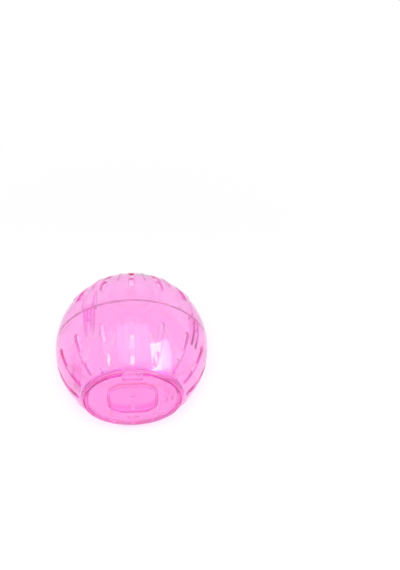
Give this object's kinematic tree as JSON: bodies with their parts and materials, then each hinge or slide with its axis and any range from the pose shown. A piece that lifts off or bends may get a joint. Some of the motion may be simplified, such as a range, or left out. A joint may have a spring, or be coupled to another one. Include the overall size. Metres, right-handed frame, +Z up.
{
  "type": "hamster ball",
  "caption": "Hollow see-through pink exercise ball for a small pet: slotted half shells that push together at a seam, and a round hook-in door with a latch tab.",
  "frame": {"origin": "centre of the ball, in the plane of the seam", "axes": "+Y along the ball's axis from the door towards the closed pole, so the door faces -Y; +Z up through the door's latch tab, with the hook at the bottom; +X to the right as the door is looked at"},
  "size_m": [0.12, 0.11, 0.12],
  "materials": {
    "moulded_pink_shell": "polished",
    "moulded_pink_door": "polished"
  },
  "bodies": {
    "door_shell": {"door_shell": "moulded_pink_shell"},
    "closed_shell": {"closed_shell": "moulded_pink_shell"},
    "door": {"door": "moulded_pink_door"}
  },
  "joints": [
    {"name": "door_swing", "type": "hinge", "parent": "door_shell", "child": "door", "pos_m": [0, -0.0482, -0.037], "axis": [1, 0, 0], "range_deg": [0, 70]},
    {"name": "halves_pull_apart", "type": "slide", "parent": "door_shell", "child": "closed_shell", "axis": [0, 1, 0], "range_m": [0, 0.08]}
  ]
}
